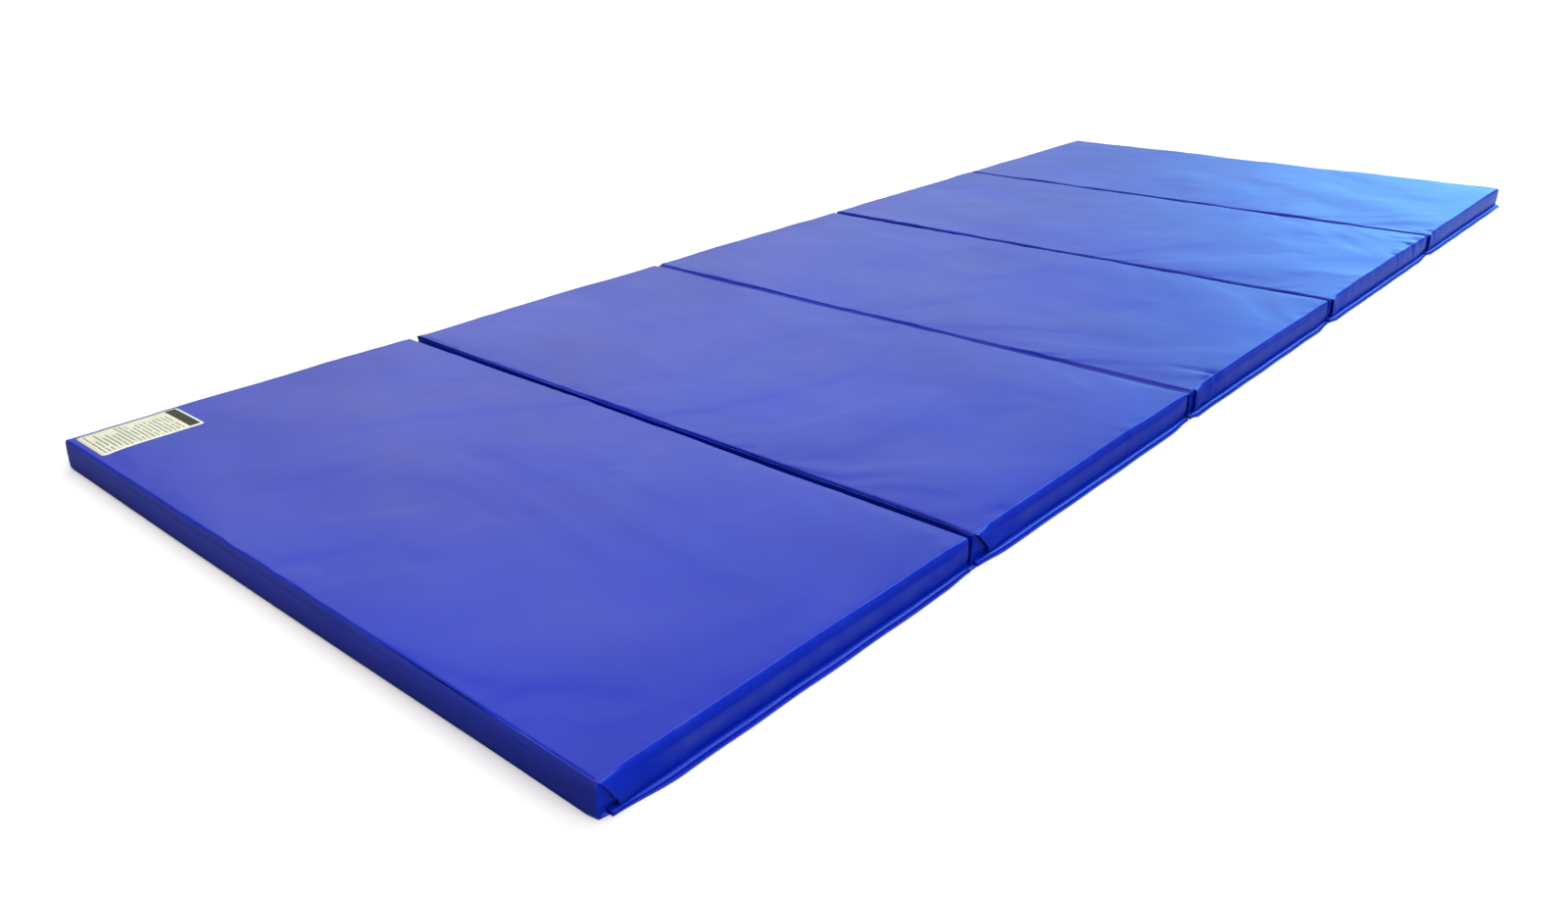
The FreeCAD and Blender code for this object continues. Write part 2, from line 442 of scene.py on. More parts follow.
def roll_over(panel, a, b):
    """Places unrolled top-sheet coordinates on the rolled pad.

    Returns the points, the outward normals, and how far down the roll each one is (0 to 1).
    """
    core_x = panel.half_x - CORNER
    core_y = panel.half_y - CORNER
    qx = np.maximum(np.abs(a) - core_x, 0.0)
    qy = np.maximum(np.abs(b) - core_y, 0.0)
    reach = np.maximum(qx, qy)
    turn = np.arctan2(qy, qx)
    share = np.clip((reach - CORE) / (UNROLLED - CORE), 0.0, 1.0)
    soft = np.maximum(np.sin(turn) ** 2, (panel.number == 1) & (a < 0.0))
    to_corner = np.hypot(np.maximum(core_x - np.abs(a), 0.0), np.maximum(core_y - np.abs(b), 0.0))
    crisp = 0.9 * np.exp(-(to_corner / CRISP_CORNER) ** 2)
    if panel.number == 1:
        crisp = np.where((a < 0.0) & (b < 0.0), 0.0, crisp)
    soft = soft * (1.0 - crisp)
    run = drop = tilt = full = 0.0
    for table, part in ((ROLLS[0], soft), (ROLLS[1], 1.0 - soft)):
        run = run + part * np.interp(share, table[0], table[1])
        drop = drop + part * np.interp(share, table[0], table[2])
        tilt = tilt + part * np.interp(share, table[0], table[3])
        full = full + part * table[1][-1]
    radius = np.minimum(reach / CORE, 1.0) * (CORNER - full) + run
    power = SQUARENESS
    swell = (np.cos(turn) ** power + np.sin(turn) ** power) ** (-1.0 / power)
    corner_x = swell * np.cos(turn)
    corner_y = swell * np.sin(turn)
    x = np.sign(a) * (np.minimum(np.abs(a), core_x) + radius * corner_x)
    y = np.sign(b) * (np.minimum(np.abs(b), core_y) + radius * corner_y)
    x = np.where(reach > 0.0, x, a) + panel.centre
    y = np.where(reach > 0.0, y, b)
    z = panel.crowned_top(x, y) - drop
    facing = np.stack([corner_x ** (power - 1.0), corner_y ** (power - 1.0)])
    facing = facing / np.linalg.norm(facing, axis=0)
    normal = np.stack([
        np.sign(a) * facing[0] * np.sin(tilt),
        np.sign(b) * facing[1] * np.sin(tilt),
        np.cos(tilt)], axis=-1)
    return np.stack([x, y, z], axis=-1), normal, tilt / (math.pi / 2.0)


def wall_offset(panel, points, outward, fraction):
    """How far a wall stands out at a height fraction (0 under the roll, 1 at the foot)."""
    x = points[:, 0]
    y = points[:, 1]
    run = x - panel.start
    to_far = panel.end - x
    to_side = panel.half_y - np.abs(y)
    side = np.abs(outward[:, 1])
    end = np.abs(outward[:, 0])
    arris = np.exp(-(np.maximum(np.minimum(run, to_far), to_side) / UPRIGHT) ** 2)
    square = np.zeros_like(x)
    if panel.number == 1:
        square = np.exp(-(np.hypot(run, to_side) / UPRIGHT) ** 2) * (y > 0.0)
    if panel.number == PANELS:
        square = np.exp(-(np.hypot(to_far, to_side) / UPRIGHT) ** 2)
    free_end = (panel.number == 1) & (x < panel.centre)

    bulge = WALL_BULGE * math.sin(math.pi * (0.15 + 0.85 * fraction))
    offset = bulge * (0.6 + 0.4 * side) * (1.0 - 0.9 * arris)
    offset = offset + panel.ripple(x, y) * (1.0 - 0.7 * fraction)
    foot = float(smooth((fraction - 0.50) / 0.50))
    offset = offset - FOOT_LEAN * foot * side * (1.0 - 0.8 * square)
    bow = END_BOW * np.cos(0.45 * math.pi * (y / panel.half_y - 0.2)) * math.sin(0.5 * math.pi * fraction)
    offset = offset + bow * free_end * end
    tuck = END_TUCK * max(0.0, (fraction - 0.70) / 0.30) ** 2
    drawn_in = 1.0 + 1.2 * np.exp(-(to_side / (18.0 * MM)) ** 2)
    offset = offset - tuck * end * (0.2 + 0.8 * free_end * drawn_in) * (1.0 - square)
    offset = offset + panel.pinches(x, y) * side * (1.0 - 0.75 * fraction)
    recess = smooth((fold_edge(panel, fraction) + 5.0 * MM - run) / (6.0 * MM)) * (1.0 - square)
    offset = offset - TUCK_RECESS * recess * side * min(1.0, 0.35 + 3.0 * fraction)
    if panel.number == 1:
        pucker = np.exp(-((run - 14.0 * MM) / (8.0 * MM)) ** 2) * (run < 60.0 * MM)
        offset = offset - FOOT_PUCKER * pucker * side * math.exp(-((fraction - 0.84) / 0.10) ** 2)
    dent = np.exp(-((to_far - 16.0 * MM - 12.0 * MM * fraction) / (5.0 * MM)) ** 2)
    return offset - FAR_DENT * dent * side


def fold_edge(panel, share):
    """Distance of a corner fold's edge from the corner, at a share of the wall's height."""
    start, run, power = FOLDS[panel.number - 1]
    return (start + run * share ** power) * MM


def foot_lift(panel, points):
    """The foot of the free ends is rounded up at the mat's corners."""
    corners = {1: (panel.start, 3.0 * MM), PANELS: (panel.end, 1.0 * MM)}
    corner_x, height = corners.get(panel.number, (0.0, 0.0))
    away = np.hypot(points[:, 0] - corner_x, panel.half_y - np.abs(points[:, 1]))
    return height * np.exp(-(away / (19.0 * MM)) ** 2)


def corner_pull(panel, points):
    """The tucked corner at -Y leans over a groove that closes below."""
    depth = CORNER_PULL[panel.number - 1] * MM
    to_side = (panel.half_y + points[:, 1]) / (45.0 * MM)
    return depth * smooth(1.0 - (points[:, 0] - panel.start) / (60.0 * MM)) * np.exp(-to_side ** 2)


def cover_skin(panel):
    """Outer surface of one top cover: points, faces that look outwards, ring of its foot, edge wear, and a
    painted grey reflection band on the walls.
    """
    a, b = np.meshgrid(edge_lines(panel.half_x), edge_lines(panel.half_y), indexing="ij")
    rows, columns = a.shape
    points, normals, rolled = roll_over(panel, a.ravel(), b.ravel())
    x = points[:, 0]
    y = points[:, 1]
    past_edge = np.maximum(np.abs(x - panel.centre) - panel.half_x, np.abs(y) - panel.half_y) + 9.0 * MM
    ripple = panel.ripple(x, y) * smooth(1.0 + past_edge / (20.0 * MM))
    pinch = panel.pinches(x, y) * smooth(1.0 + past_edge / (16.0 * MM))
    points = points + normals * (ripple + pinch)[:, None]
    points[:, 0] -= corner_pull(panel, points)
    faces = grid_faces(rows, columns)
    wear = list(np.clip(1.0 - np.abs(rolled - 0.45) / 0.45, 0.0, 1.0) * (rolled > 0.02))

    ring = np.array(grid_rim(rows, columns))
    outward = normals[ring].copy()
    outward[:, 2] = 0.0
    outward /= np.linalg.norm(outward, axis=1)[:, None]
    brim = points[ring]
    plan = roll_over(panel, a.ravel()[ring], b.ravel()[ring])[0]
    plan[:, 0] -= corner_pull(panel, plan)
    foot = FOOT_Z + foot_lift(panel, plan)
    run = plan[:, 0] - panel.start
    facing = np.abs(outward[:, 1]) + 0.8 * np.abs(outward[:, 0])
    stack = [points]
    previous = list(ring)
    painted_reflection = [0.0] * len(points)
    for fraction in WALL_FRACTIONS:
        level = plan + outward * wall_offset(panel, plan, outward, fraction)[:, None]
        level[:, 2] = brim[:, 2] + (foot - brim[:, 2]) * fraction
        base = len(wear)
        current = list(range(base, base + len(ring)))
        faces += ring_faces(previous, current)
        previous = current
        stack.append(level)
        wear += [0.0] * len(ring)
        # Painted reflection: a grey band high on the walls, past the corner folds, stands in for the floor
        # they mirror.
        past_flap = smooth((run - fold_edge(panel, fraction) - FLAP_REACH) / REFLECTION_FADE)
        painted_reflection += list(math.exp(-((fraction - 0.22) / 0.26) ** 2) * past_flap * facing)
    return np.concatenate(stack), [face[::-1] for face in faces], previous, wear, painted_reflection


def vertex_normals(points, faces):
    """Area-weighted vertex normals of a quad mesh."""
    quads = np.array(faces)
    p = points[quads]
    flat = np.cross(p[:, 2] - p[:, 0], p[:, 3] - p[:, 1])
    normals = np.zeros_like(points)
    for corner in range(4):
        np.add.at(normals, quads[:, corner], flat)
    length = np.linalg.norm(normals, axis=1)
    return normals / np.maximum(length, 1e-12)[:, None]


def shell(points, faces, rim, thickness):
    """Closed sheet of a thickness under an open surface whose free edge is rim."""
    normals = vertex_normals(points, faces)
    inner = points - normals * thickness
    count = len(points)
    both = np.concatenate([points, inner])
    solid = list(faces) + [tuple(i + count for i in face[::-1]) for face in faces]
    return both, solid + ring_faces(rim, [i + count for i in rim])


def below_ceiling(height):
    """Eases heights off under the level that the folded panels need to themselves."""
    soft = 1.2 * MM
    over = height - (CEILING - soft)
    return np.where(over > 0.0, CEILING - soft + soft * np.tanh(over / soft), height)


def settle_cloth(name, points, faces, rim, slack):
    """Lets the vinyl buckle a little over its foam: Blender's cloth on an elastic footing."""
    mesh = bpy.data.meshes.new(name)
    mesh.from_pydata(points.tolist(), [], faces)
    piece = bpy.data.objects.new(name, mesh)
    bpy.context.scene.collection.objects.link(piece)
    hold = piece.vertex_groups.new(name="hold")
    hold.add(list(range(len(points))), FOAM_HOLD, "REPLACE")
    hold.add([int(i) for i in rim], 1.0, "REPLACE")
    cloth = piece.modifiers.new("vinyl", "CLOTH")
    settings = cloth.settings
    settings.quality = 6
    settings.mass = 0.6
    settings.tension_stiffness = settings.compression_stiffness = 60.0
    settings.shear_stiffness = 25.0
    settings.bending_stiffness = 6.0
    settings.vertex_group_mass = "hold"
    settings.pin_stiffness = 1.0
    settings.shrink_min = settings.shrink_max = -slack
    settings.effector_weights.gravity = 0.0
    cloth.collision_settings.use_collision = False
    cloth.collision_settings.use_self_collision = False
    cloth.point_cache.frame_start = 1
    cloth.point_cache.frame_end = CLOTH_FRAMES
    scene = bpy.context.scene
    for step in range(1, CLOTH_FRAMES + 1):
        scene.frame_set(step)
    settled = piece.evaluated_get(bpy.context.evaluated_depsgraph_get()).to_mesh()
    after = np.empty(points.size)
    settled.vertices.foreach_get("co", after)
    bpy.data.objects.remove(piece)
    scene.frame_set(1)
    move = after.reshape(-1, 3) - points
    length = np.linalg.norm(move, axis=1)
    scale = CLOTH_CAP * np.tanh(length / CLOTH_CAP) / np.maximum(length, 1e-9)
    return points + CLOTH_SHARE * move * scale[:, None]


# -------- materials
class Nodes:
    """Short way to build the nodes of one material or world."""

    def __init__(self, owner, shader="Principled BSDF"):
        self.owner = owner
        owner.use_nodes = True
        self.tree = owner.node_tree
        self.shader = self.tree.nodes[shader]
        self.coordinates = self.add("ShaderNodeTexCoord")
        self.place = self.coordinates.outputs["Object"]

    def feed(self, socket, source):
        """Links another node's output to a socket, or sets the socket's value."""
        if isinstance(source, bpy.types.NodeSocket):
            self.tree.links.new(source, socket)
        else:
            socket.default_value = source

    def add(self, kind, *sources, **values):
        """New node: sources feed its first sockets, values its options and named sockets."""
        node = self.tree.nodes.new(kind)
        for key, value in values.items():
            if hasattr(node, key):
                setattr(node, key, value)
            else:
                self.feed(node.inputs[key.replace("_", " ")], value)
        for socket, source in zip(node.inputs, sources):
            self.feed(socket, source)
        return node

    def noise(self, scale, detail=3.0, stretch=(1.0, 1.0, 1.0), rough=0.5):
        """Noise of a pitch of about 1/scale metres, stretched along the axes."""
        mapping = self.add("ShaderNodeMapping", self.place, Scale=stretch)
        node = self.add("ShaderNodeTexNoise", mapping.outputs["Vector"],
                        Scale=scale, Detail=detail, Roughness=rough)
        return node.outputs["Fac"]

    def wave(self, scale, axis, distort):
        node = self.add("ShaderNodeTexWave", self.place,
                        bands_direction=axis, Scale=scale, Distortion=distort)
        return node.outputs["Fac"]

    def cells(self, scale, feature):
        node = self.add("ShaderNodeTexVoronoi", self.place, feature=feature, Scale=scale)
        return node.outputs["Distance"]

    def math(self, operation, a, b=0.0):
        return self.add("ShaderNodeMath", a, b, operation=operation).outputs[0]

    def span(self, value, low, high, to_low, to_high):
        """Maps a value from one range to another, clamped."""
        return self.add("ShaderNodeMapRange", value, low, high, to_low, to_high).outputs["Result"]

    def vary(self, noise, low, high):
        """Spreads the middle of a noise from low to high."""
        return self.span(noise, 0.3, 0.7, low, high)

    def mix(self, factor, a, b):
        """Mixes two colours."""
        node = self.add("ShaderNodeMix", factor, data_type="RGBA")
        self.feed(node.inputs[6], a)
        self.feed(node.inputs[7], b)
        return node.outputs[2]

    def bump(self, height, strength, distance, **under):
        node = self.add("ShaderNodeBump", Height=height, Strength=strength, Distance=distance, **under)
        return node.outputs["Normal"]

    def finish(self, **sockets):
        """Feeds the shader's sockets and returns the material or world."""
        for key, source in sockets.items():
            self.feed(self.shader.inputs[key.replace("_", " ")], source)
        return self.owner


def vinyl_material(name, deep, bright, worn, reflection_tint):
    """Semi-gloss coated fabric: fine grain, a faint scrim, soft scuffs, worn edges, and a painted grey
    reflection band on the walls.
    """
    nodes = Nodes(bpy.data.materials.new(name))
    colour = nodes.mix(nodes.span(nodes.noise(3.2, 4.0), 0.32, 0.68, 0.0, 1.0), deep, bright)
    scuffed = nodes.span(nodes.noise(26.0, 6.0, (1.0, 0.25, 1.0), 0.7), 0.48, 0.88, 0.0, 0.22)
    colour = nodes.mix(scuffed, colour, worn)
    edge = nodes.add("ShaderNodeAttribute", attribute_name="wear").outputs["Fac"]
    rubbed = nodes.math("MULTIPLY", edge, nodes.span(nodes.noise(60.0, 5.0), 0.45, 0.75, 0.0, 0.45))
    colour = nodes.mix(rubbed, colour, worn)
    # Painted reflection: the walls' band, streaked, turns the colour towards a greyer tint.
    painted_reflection = nodes.add("ShaderNodeAttribute", attribute_name="painted_reflection").outputs["Fac"]
    reflection_streaks = nodes.vary(nodes.noise(34.0, 4.0, (1.0, 1.0, 0.35), 0.6), 0.25, 1.0)
    colour = nodes.mix(nodes.math("MULTIPLY", painted_reflection, reflection_streaks), colour, reflection_tint)
    roughness = nodes.vary(nodes.noise(8.0, 5.0, (1.0, 0.5, 1.0), 0.6), 0.29, 0.37)
    roughness = nodes.math("ADD", roughness, nodes.math("MULTIPLY", scuffed, 0.12))
    pebble = nodes.math("MULTIPLY", nodes.cells(820.0, "SMOOTH_F1"), 0.7)
    grain = nodes.math("ADD", pebble, nodes.noise(1500.0, 2.0))
    scrim = nodes.math("MULTIPLY", nodes.wave(105.0, "X", 0.6), nodes.wave(105.0, "Y", 0.6))
    normal = nodes.bump(nodes.noise(16.0, 2.0, (1.0, 0.6, 1.0)), 0.30, 0.6 * MM)
    normal = nodes.bump(scrim, 0.16, 0.08 * MM, Normal=normal)
    normal = nodes.bump(grain, 0.20, 0.05 * MM, Normal=normal)
    return nodes.finish(
        Base_Color=colour, Roughness=roughness, Normal=normal,
        IOR=1.50, Specular_IOR_Level=0.5, Coat_Weight=0.10, Coat_Roughness=0.20)


def thread_material():
    """Bonded nylon thread, twisted."""
    nodes = Nodes(bpy.data.materials.new("blue_thread"))
    twist = nodes.wave(420.0, "DIAGONAL", 0.3)
    return nodes.finish(
        Base_Color=nodes.mix(twist, (0.012, 0.035, 0.30, 1.0), (0.030, 0.085, 0.52, 1.0)),
        Roughness=nodes.vary(nodes.noise(300.0), 0.42, 0.58),
        Normal=nodes.bump(twist, 0.5, 0.12 * MM), Sheen_Weight=0.25, Sheen_Roughness=0.4)


def foam_material():
    """Closed-cell polyethylene foam."""
    nodes = Nodes(bpy.data.materials.new("closed_cell_foam"))
    tone = nodes.vary(nodes.noise(12.0, 4.0), 0.0, 1.0)
    return nodes.finish(
        Base_Color=nodes.mix(tone, (0.72, 0.72, 0.68, 1.0), (0.84, 0.84, 0.80, 1.0)),
        Roughness=nodes.vary(nodes.noise(90.0), 0.75, 0.9),
        Normal=nodes.bump(nodes.cells(900.0, "F1"), 0.5, 0.25 * MM))


def label_material(low, high):
    """Cream printed label: a dark band at one end and plain ruled grey lines, no lettering."""
    nodes = Nodes(bpy.data.materials.new("printed_label"))
    split = nodes.add("ShaderNodeSeparateXYZ", nodes.place)
    along = split.outputs["X"]
    across = split.outputs["Y"]
    length = high[0] - low[0]
    width = high[1] - low[1]
    band_start = high[0] - 0.135 * length
    margin_x = 0.045 * length
    margin_y = 0.07 * width

    def between(value, start, end):
        above = nodes.math("GREATER_THAN", value, start)
        below = nodes.math("LESS_THAN", value, end)
        return nodes.math("MULTIPLY", above, below)

    inside_y = between(across, low[1] + margin_y, high[1] - margin_y)
    band = nodes.math("MULTIPLY", between(along, band_start, high[0] - 0.025 * length),
                      between(across, low[1] + 0.045 * length, high[1] - 0.03 * length))
    body = nodes.math("MULTIPLY", between(along, low[0] + margin_x, band_start - margin_x), inside_y)
    row = nodes.math("FRACT", nodes.math("MULTIPLY", along, 1.0 / LABEL_ROW))
    line = nodes.math("LESS_THAN", row, 0.36)
    broken = nodes.math("GREATER_THAN", nodes.noise(75.0, 0.0, (2.0, 1.0, 0.05)), 0.34)
    ragged = nodes.noise(9.0, 0.0, (18.0, 0.1, 1.0))
    ragged = nodes.vary(ragged, low[1] + 0.62 * width, low[1] + 0.99 * width)
    solid = nodes.math("MULTIPLY", broken, nodes.math("LESS_THAN", across, ragged))
    ink = nodes.math("MULTIPLY", nodes.math("MULTIPLY", line, solid), body)
    faded = nodes.math("MULTIPLY", ink, nodes.vary(nodes.noise(140.0), 0.55, 0.90))
    tone = nodes.vary(nodes.noise(30.0, 4.0), 0.0, 1.0)
    colour = nodes.mix(tone, (0.78, 0.75, 0.55, 1.0), (0.86, 0.83, 0.64, 1.0))
    colour = nodes.mix(faded, colour, (0.10, 0.10, 0.13, 1.0))
    colour = nodes.mix(nodes.math("MULTIPLY", band, 0.96), colour, (0.022, 0.018, 0.014, 1.0))
    return nodes.finish(
        Base_Color=colour, Roughness=nodes.vary(nodes.noise(45.0, 4.0), 0.48, 0.60),
        Normal=nodes.bump(nodes.noise(180.0, 3.0), 0.25, 0.10 * MM), Specular_IOR_Level=0.25)


def floor_material():
    """Pale floor.  It gives the object less light than it shows, as a studio sweep far below would."""
    nodes = Nodes(bpy.data.materials.new("pale_floor"))
    tone = nodes.vary(nodes.noise(0.8, 3.0), 0.0, 1.0)
    shown = nodes.mix(tone, (0.97, 0.955, 0.93, 1.0), (0.985, 0.97, 0.945, 1.0))
    along = nodes.add("ShaderNodeSeparateXYZ", nodes.place).outputs["X"]
    # Painted light for the object's reflections: the floor brightens along X into a bluish pool of window
    # light, and is lighter again just before the mat's near end.
    lit = nodes.span(along, -0.4, 2.0, 0.0, 1.0)
    given = nodes.mix(lit, (0.07, 0.07, 0.075, 1.0), (0.40, 0.52, 0.58, 1.0))
    near = nodes.span(along, -1.50, -1.62, 0.0, 1.0)
    given = nodes.mix(near, given, (0.22, 0.22, 0.22, 1.0))
    seen = nodes.add("ShaderNodeLightPath").outputs["Is Camera Ray"]
    return nodes.finish(
        Base_Color=nodes.mix(seen, given, shown),
        Emission_Strength=nodes.math("MULTIPLY", seen, 0.12), Emission_Color=(1.0, 0.985, 0.96, 1.0),
        Roughness=nodes.vary(nodes.noise(5.0), 0.6, 0.7),
        Normal=nodes.bump(nodes.noise(40.0), 0.05, 0.2 * MM), Specular_IOR_Level=0.1)


# The last colour of each vinyl is the tint of the painted reflection band on the walls.
COVER = vinyl_material(
    "royal_blue_vinyl", (0.001, 0.015, 0.41, 1.0), (0.002, 0.022, 0.49, 1.0), (0.03, 0.07, 0.50, 1.0),
    (0.030, 0.050, 0.40, 1.0))
WEB = vinyl_material(
    "hinge_vinyl", (0.002, 0.011, 0.36, 1.0), (0.003, 0.017, 0.44, 1.0), (0.03, 0.06, 0.50, 1.0),
    (0.030, 0.030, 0.32, 1.0))
UNDER = vinyl_material(
    "underside_vinyl", (0.002, 0.013, 0.40, 1.0), (0.003, 0.019, 0.48, 1.0), (0.03, 0.07, 0.50, 1.0),
    (0.030, 0.030, 0.34, 1.0))
THREAD = thread_material()
FOAM = foam_material()


# -------- pieces on the covers
class Skin:
    """A finished cover surface that other pieces lie on."""

    def __init__(self, points, faces):
        self.tree = BVHTree.FromPolygons(points.tolist(), faces)

    def beside(self, x, z, side, fallback):
        """The place on a side wall or its roll at x and z, seen from the side."""
        place, normal, _, _ = self.tree.ray_cast(Vector((x, side * 0.75, z)), Vector((0.0, -side, 0.0)))
        if place is None:
            place, normal, _, _ = self.tree.find_nearest(Vector((x, fallback, z)))
        return place, normal

    def height(self, x, y, top):
        place, _, _, _ = self.tree.ray_cast(Vector((x, y, top + 0.02)), Vector((0.0, 0.0, -1.0)))
        return place.z


def corner_flap(panel, skin, side):
    """Folded ply of a corner tuck: it lies over the wall, and its edge stands a little proud."""
    rows = 24
    columns = 15
    top_z = panel.top - CROWN_DROP - FLAP_TOP
    foot_z = FOOT_Z + FLAP_FOOT
    outer = []
    inner = []
    for row in range(rows):
        t = (row / (rows - 1.0)) ** 1.15
        z = top_z + (foot_z - top_z) * t
        edge = fold_edge(panel, t)
        rise = float(smooth((t + 0.02) / 0.10))
        for column in range(columns):
            s = column / (columns - 1.0)
            along = edge + FLAP_REACH * s ** 1.4
            foot_share = 1.0 - 0.5 * float(smooth((t - 0.75) / 0.25))
            lift = (FLAP_LIFT * rise * foot_share + 0.5 * MM) * (1.0 - float(smooth(s))) - 0.5 * MM
            fold = 0.4 * MM * math.exp(-(s / 0.04) ** 2)
            place, normal = skin.beside(panel.start + along, z, side, side * panel.half_y)
            outer.append(place + normal * (lift + fold))
            inner.append(place + normal * (lift - fold - 1.3 * VINYL))
    return np.array(outer + inner), sheet_faces(rows, columns, side > 0)


def lip_width(panel, x):
    """Share of a lip's full width at x: it is drawn in at the ends of its panel."""
    least, begin, length = LIPS[panel.number - 1][2:]
    near = least + (1.0 - least) * smooth((x - panel.start - begin * MM) / (length * MM))
    if panel.number == PANELS:
        return near
    return near * (0.42 + 0.58 * smooth((panel.end - x - 2.0 * MM) / (62.0 * MM)))


def lip_wave(panel, x, side):
    """Slow up-and-down of a flange's free edge, 0 to 1."""
    phase = panel.number * 1.7 + (0.9 if side > 0 else 0.0)
    return 0.5 + 0.28 * np.sin(19.0 * x + phase) + 0.22 * np.sin(47.0 * x + 2.3 * phase)


def lip_span(panel):
    """X range over which a panel's flange runs."""
    start, end = LIPS[panel.number - 1][:2]
    return panel.start + start * MM, panel.end + end * MM


def lip_height(upper, share, wave):
    """Height of a lip's centre line: share runs from 0 at the wall to 1 at the free edge."""
    if upper:
        return (4.4 + 0.7 * wave - 1.5 * share ** 2) * MM
    return (1.15 + 0.75 * wave * share + 0.35 * math.sin(math.pi * share) - 0.35 * share ** 2) * MM


def side_lip(panel, side, upper):
    """One lip of the side flange, as a closed strip along the foot of the wall."""
    start, end = lip_span(panel)
    reach = UPPER_LIP if upper else LOWER_LIP
    stations = np.linspace(start, end, int((end - start) / LIP_STEP) + 1)
    thickness = HEM if upper else 1.5 * VINYL
    sections = []
    for x in stations:
        width = reach * float(lip_width(panel, x))
        wave = float(lip_wave(panel, x, side))
        edge_wave = 0.35 * MM * math.sin(47.0 * x + panel.number)
        centres = [(-LIP_ROOT, lip_height(upper, 0.0, wave))]
        for share in (0.0, 0.2, 0.4, 0.6, 0.78, 0.9, 1.0):
            centres.append((share * (width + edge_wave), lip_height(upper, share, wave)))
        outline = band_section(centres, thickness)
        y = side * (panel.half_y + outline[:, 0])
        section = np.stack([np.full(len(y), x), y, outline[:, 1]], axis=1)
        sections.append(section if side < 0 else section[::-1])
    return loft(sections)


def stitch(start, end, sides):
    """One stitch: a short level thread that dips into the cloth at both ends."""
    start = np.asarray(start, float)
    span = np.asarray(end, float) - start
    up = np.array([0.0, 0.0, 1.0])
    across = np.cross(span / np.linalg.norm(span), up)
    turns = [2.0 * math.pi * k / sides for k in range(sides)]
    sections = []
    for share, height, radius in STITCH_PROFILE:
        centre = start + span * share + up * height * THREAD_RADIUS
        sections.append([
            centre + (across * math.cos(turn) + up * math.sin(turn)) * THREAD_RADIUS * radius
            for turn in turns])
    return loft(sections)


def stitch_row(start, end, place, sides):
    """Stitches at even steps between two distances; place gives the point at a distance."""
    starts = [start + k * STITCH_PITCH for k in range(int((end - start) / STITCH_PITCH))]
    return [stitch(place(at), place(at + STITCH_LENGTH), sides) for at in starts]


def seam_stitches(panel, side):
    """The row of stitches that closes the side flange."""
    def place(x):
        width = UPPER_LIP * float(lip_width(panel, x))
        z = lip_height(True, SEAM_SHARE, float(lip_wave(panel, x, side))) + HEM / 2.0
        return x, side * (panel.half_y + width * SEAM_SHARE), z

    start, end = lip_span(panel)
    return stitch_row(start + SEAM_START, end - SEAM_END, place, 6)


def bottom_sheet(panel):
    """Bottom cover: a flat sheet, very slightly rippled, with its edge hidden under the walls."""
    half_x = panel.half_x - UNDER_INSET_X
    half_y = panel.half_y - UNDER_INSET_Y
    grid = np.meshgrid(np.linspace(-half_x, half_x, 38), np.linspace(-half_y, half_y, 76), indexing="ij")
    a = grid[0].ravel()
    b = grid[1].ravel()
    inside = smooth(np.minimum(half_x - np.abs(a), half_y - np.abs(b)) / (30.0 * MM))
    lift = 0.10 * MM + 1.6 * inside * (np.abs(panel.undulation(-a - panel.centre, b)) + 0.05 * MM)
    x, y = rounded(a, b, half_x, half_y, CORNER)
    under = np.stack([x + panel.centre, y, np.minimum(lift, UNDER_RIPPLE)], axis=1)
    over = under + np.array([0.0, 0.0, VINYL])
    return np.concatenate([under, over]), sheet_faces(*grid[0].shape, True)


def foam_block(panel):
    """The foam inside a cover: the cover's shape, a little smaller, closed underneath."""
    core_x = panel.half_x - FOAM_SIDE_INSET - FOAM_ROUND
    core_y = panel.half_y - FOAM_SIDE_INSET - FOAM_ROUND
    foot = FOAM_ROUND - FOAM_FOOT_INSET
    a, b = np.meshgrid(np.linspace(-core_x, core_x, 22), np.linspace(-core_y, core_y, 42), indexing="ij")
    rows, columns = a.shape
    a = a.ravel()
    b = b.ravel()
    top = np.stack([a + panel.centre, b, panel.crowned_top(a + panel.centre, b) - FOAM_TOP_INSET], axis=1)
    under = np.stack([
        panel.centre + a * (1.0 + foot / core_x),
        b * (1.0 + foot / core_y),
        np.full(len(a), FOAM_FOOT_Z)], axis=1)
    ring = grid_rim(rows, columns)
    out = np.stack([
        np.sign(a[ring]) * (np.abs(a[ring]) > core_x - 1e-6),
        np.sign(b[ring]) * (np.abs(b[ring]) > core_y - 1e-6)], axis=1)
    out /= np.linalg.norm(out, axis=1)[:, None]
    levels = [top]
    faces = grid_faces(rows, columns)
    previous = ring
    base = len(top)
    for reach, drop in ((0.5, 0.13), (0.87, 0.5), (1.0, 1.0), (1.0, 3.0)):
        level = top[ring]
        level[:, :2] += out * FOAM_ROUND * reach
        level[:, 2] -= FOAM_ROUND * drop
        levels.append(level)
        current = list(range(base, base + len(ring)))
        faces += ring_faces(previous, current)
        previous = current
        base += len(ring)
    faces += ring_faces(previous, [base + i for i in ring])
    faces += [tuple(base + i for i in face) for face in grid_faces(rows, columns, True)]
    return np.concatenate(levels + [under]), faces


def surface_attribute(piece, name, values):
    """Stores a value at each point of a piece; points beyond the list get 0."""
    attribute = piece.data.attributes.new(name, "FLOAT", "POINT")
    full = np.zeros(len(piece.data.vertices))
    full[:len(values)] = values
    attribute.data.foreach_set("value", full)


